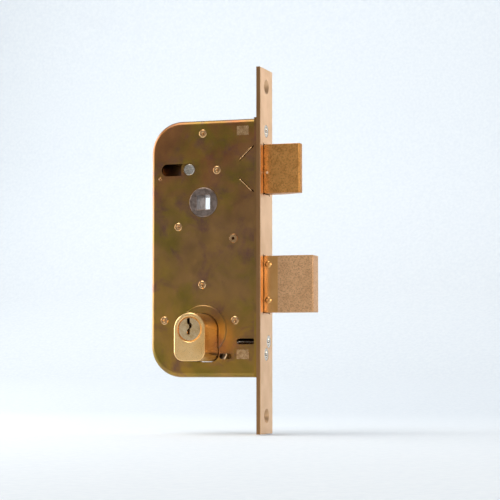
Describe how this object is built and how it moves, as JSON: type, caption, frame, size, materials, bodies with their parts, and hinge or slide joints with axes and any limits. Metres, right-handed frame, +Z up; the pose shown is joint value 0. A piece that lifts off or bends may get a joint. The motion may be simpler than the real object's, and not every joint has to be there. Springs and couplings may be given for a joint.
{
  "type": "mortise lock",
  "caption": "Mortise lock for a timber door: flat case behind a narrow forend, with a bevelled latch, a long deadbolt, a square-bored follower and an oval double key cylinder.",
  "frame": {"origin": "Centre of the forend's two wood-screw holes, on the forend's back face, which bears on the door.", "axes": "+X is the way the bolts are thrown, +Y is through the door toward the cover plate, +Z is up along the forend."},
  "size_m": [0.0953, 0.06, 0.205],
  "materials": {
    "passivated_steel": "pressed steel, zinc plated and yellow passivated",
    "forend_steel": "satin steel, pale brass plated",
    "latch_metal": "cast, tumbled, dull gold",
    "deadbolt_root": "smooth, yellow passivated",
    "deadbolt_metal": "rough cast face, pale gold plating",
    "zinc_casting": "die-cast, bare",
    "cylinder_brass": "satin brass",
    "bright_steel": "bright zinc plated",
    "spring_steel": "drawn wire and strip"
  },
  "bodies": {
    "case": {"case_tray": "passivated_steel", "cover_plate": "passivated_steel", "case_posts": "passivated_steel", "cover_sleeve": "passivated_steel", "cover_screws": "bright_steel", "fixing_blocks": "passivated_steel", "forend": "forend_steel", "backing_plate": "passivated_steel", "forend_screws": "bright_steel", "cylinder_screw": "bright_steel", "latch_stud": "passivated_steel", "latch_spring_rod": "bright_steel", "latch_spring": "spring_steel", "deadbolt_stud": "passivated_steel", "detent_pivot": "passivated_steel", "detent_spring": "spring_steel", "cylinder_body": "cylinder_brass", "outer_driver_pins": "cylinder_brass", "inner_driver_pins": "cylinder_brass", "outer_pin_springs": "spring_steel", "inner_pin_springs": "spring_steel", "outer_chamber_plugs": "cylinder_brass", "inner_chamber_plugs": "cylinder_brass"},
    "follower": {"follower": "zinc_casting"},
    "carriage": {"latch_carriage": "passivated_steel", "latch_tail_pin": "bright_steel"},
    "stem": {"latch_stem": "bright_steel", "latch_stem_clip": "spring_steel"},
    "latch": {"latch_head": "latch_metal", "latch_head_pin": "bright_steel"},
    "deadbolt": {"deadbolt_tail": "deadbolt_root", "deadbolt_head": "deadbolt_metal", "deadbolt_rivets": "deadbolt_root"},
    "detent": {"detent_lever": "bright_steel"},
    "outer_plug": {"outer_plug": "cylinder_brass", "outer_plug_clip": "spring_steel", "outer_key_pins": "cylinder_brass"},
    "inner_plug": {"inner_plug": "cylinder_brass", "inner_plug_clip": "spring_steel", "inner_key_pins": "cylinder_brass"},
    "cam": {"cylinder_cam": "zinc_casting"}
  },
  "joints": [
    {"name": "follower_turn", "type": "hinge", "parent": "case", "child": "follower", "pos_m": [-0.0326, 0, 0.0275], "axis": [0, -1, 0], "range_deg": [0, 32.2], "stiffness_Nm_per_rad": 0.4, "springref_deg": -28.65},
    {"name": "latch_slide", "type": "slide", "parent": "case", "child": "carriage", "axis": [1, 0, 0], "range_m": [-0.013, 0], "stiffness_N_per_m": 300, "springref_m": 0.012, "deforming": ["latch_spring"]},
    {"name": "head_draw", "type": "slide", "parent": "carriage", "child": "stem", "axis": [1, 0, 0], "range_m": [-0.0083, 0]},
    {"name": "head_turn", "type": "hinge", "parent": "stem", "child": "latch", "pos_m": [0.0124, 0, 0.0455], "axis": [1, 0, 0], "range_deg": [0, 180]},
    {"name": "key_turn", "type": "hinge", "parent": "case", "child": "outer_plug", "pos_m": [-0.0326, -0.02, -0.0445], "axis": [0, -1, 0], "range_deg": [0, 720.5]},
    {"name": "cam_turn", "type": "hinge", "parent": "case", "child": "cam", "pos_m": [-0.0326, 0, -0.0445], "axis": [0, -1, 0], "range_deg": [0, 720.5]},
    {"name": "deadbolt_slide", "type": "slide", "parent": "case", "child": "deadbolt", "axis": [1, 0, 0], "range_m": [-0.0288, 0]},
    {"name": "inner_key_turn", "type": "hinge", "parent": "case", "child": "inner_plug", "pos_m": [-0.0326, 0.02, -0.0445], "axis": [0, -1, 0], "range_deg": [0, 720]},
    {"name": "detent_lift", "type": "hinge", "parent": "case", "child": "detent", "pos_m": [-0.0476, -0.005, 0.0139], "axis": [0, -1, 0], "range_deg": [0, 10], "stiffness_Nm_per_rad": 0.05, "springref_deg": -22.92, "deforming": ["detent_spring"]}
  ],
  "couplings": [
    {"joint": "follower_turn", "follows": "latch_slide", "rad_per_m": -42.962},
    {"joint": "key_turn", "follows": "deadbolt_slide", "rad_per_m": -436.33},
    {"joint": "cam_turn", "follows": "deadbolt_slide", "rad_per_m": -436.33}
  ]
}
